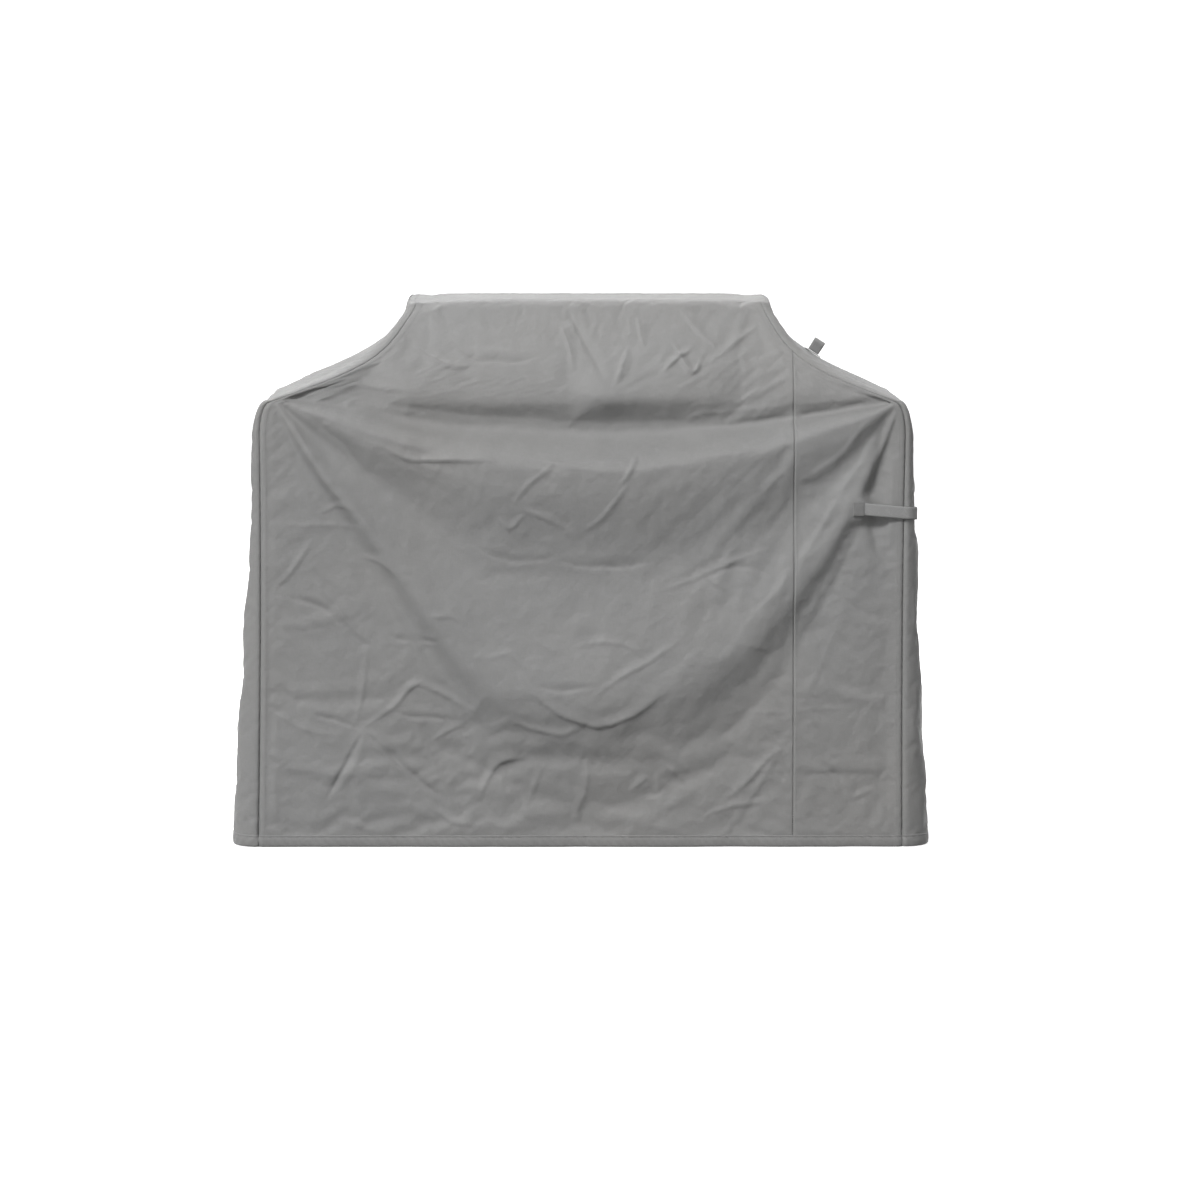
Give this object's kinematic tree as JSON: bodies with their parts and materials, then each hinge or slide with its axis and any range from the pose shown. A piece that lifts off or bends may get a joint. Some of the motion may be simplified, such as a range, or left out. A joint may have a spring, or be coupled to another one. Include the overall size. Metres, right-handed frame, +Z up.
{
  "type": "grill cover",
  "caption": "Draped cloth cover for a free-standing barbecue grill, with a flat hood top, sloping ends, hemmed skirt, cinch straps and a hanging loop.",
  "frame": {"origin": "on the ground, at the middle of the cover's box", "axes": "+Z up, +X to the right seen from the front, front towards -Y"},
  "size_m": [1.4742, 0.64, 1.147],
  "materials": {
    "cover_cloth": "coated plain-weave polyester, dull sheen",
    "hem_cloth": "the same cloth folded and stitched",
    "seam_tape": "woven tape, matt",
    "webbing": "flat woven webbing",
    "hook_and_loop": "napped hook-and-loop tape"
  },
  "bodies": {
    "cover": {"front_panel": "cover_cloth", "front_filler_panel": "cover_cloth", "back_panel": "cover_cloth", "back_filler_panel": "cover_cloth", "left_side_panel": "cover_cloth", "right_side_panel": "cover_cloth", "right_strap_anchor": "cover_cloth", "left_strap_anchor": "cover_cloth", "hanging_loop_base": "cover_cloth", "front_hem": "hem_cloth", "back_hem": "hem_cloth", "left_hem": "hem_cloth", "right_hem": "hem_cloth", "front_left_seam_tape": "seam_tape", "front_right_seam_tape": "seam_tape", "front_join_seam_tape": "seam_tape", "back_left_seam_tape": "seam_tape", "back_right_seam_tape": "seam_tape", "back_join_seam_tape": "seam_tape", "top_left_seam_tape": "seam_tape", "top_right_seam_tape": "seam_tape", "top_rear_seam_tape": "seam_tape", "right_strap_loop_patch": "hook_and_loop", "left_strap_loop_patch": "hook_and_loop"},
    "right_strap": {"right_strap": "webbing", "right_strap_hook_patch": "hook_and_loop"},
    "left_strap": {"left_strap": "webbing", "left_strap_hook_patch": "hook_and_loop"},
    "hanging_loop": {"hanging_loop": "webbing"}
  },
  "joints": [
    {"name": "right_strap_hinge", "type": "hinge", "parent": "cover", "child": "right_strap", "pos_m": [0.5965, -0.28762, 0.7127], "axis": [0, 0, -1], "range_deg": [0, 90]},
    {"name": "left_strap_hinge", "type": "hinge", "parent": "cover", "child": "left_strap", "pos_m": [-0.5965, 0.28076, 0.7127], "axis": [0, 0, -1], "range_deg": [0, 90]},
    {"name": "hanging_loop_hinge", "type": "hinge", "parent": "cover", "child": "hanging_loop", "pos_m": [0.5121, 0.19, 1.02144], "axis": [0.8423, 0, -0.539], "range_deg": [-60, 60]}
  ]
}
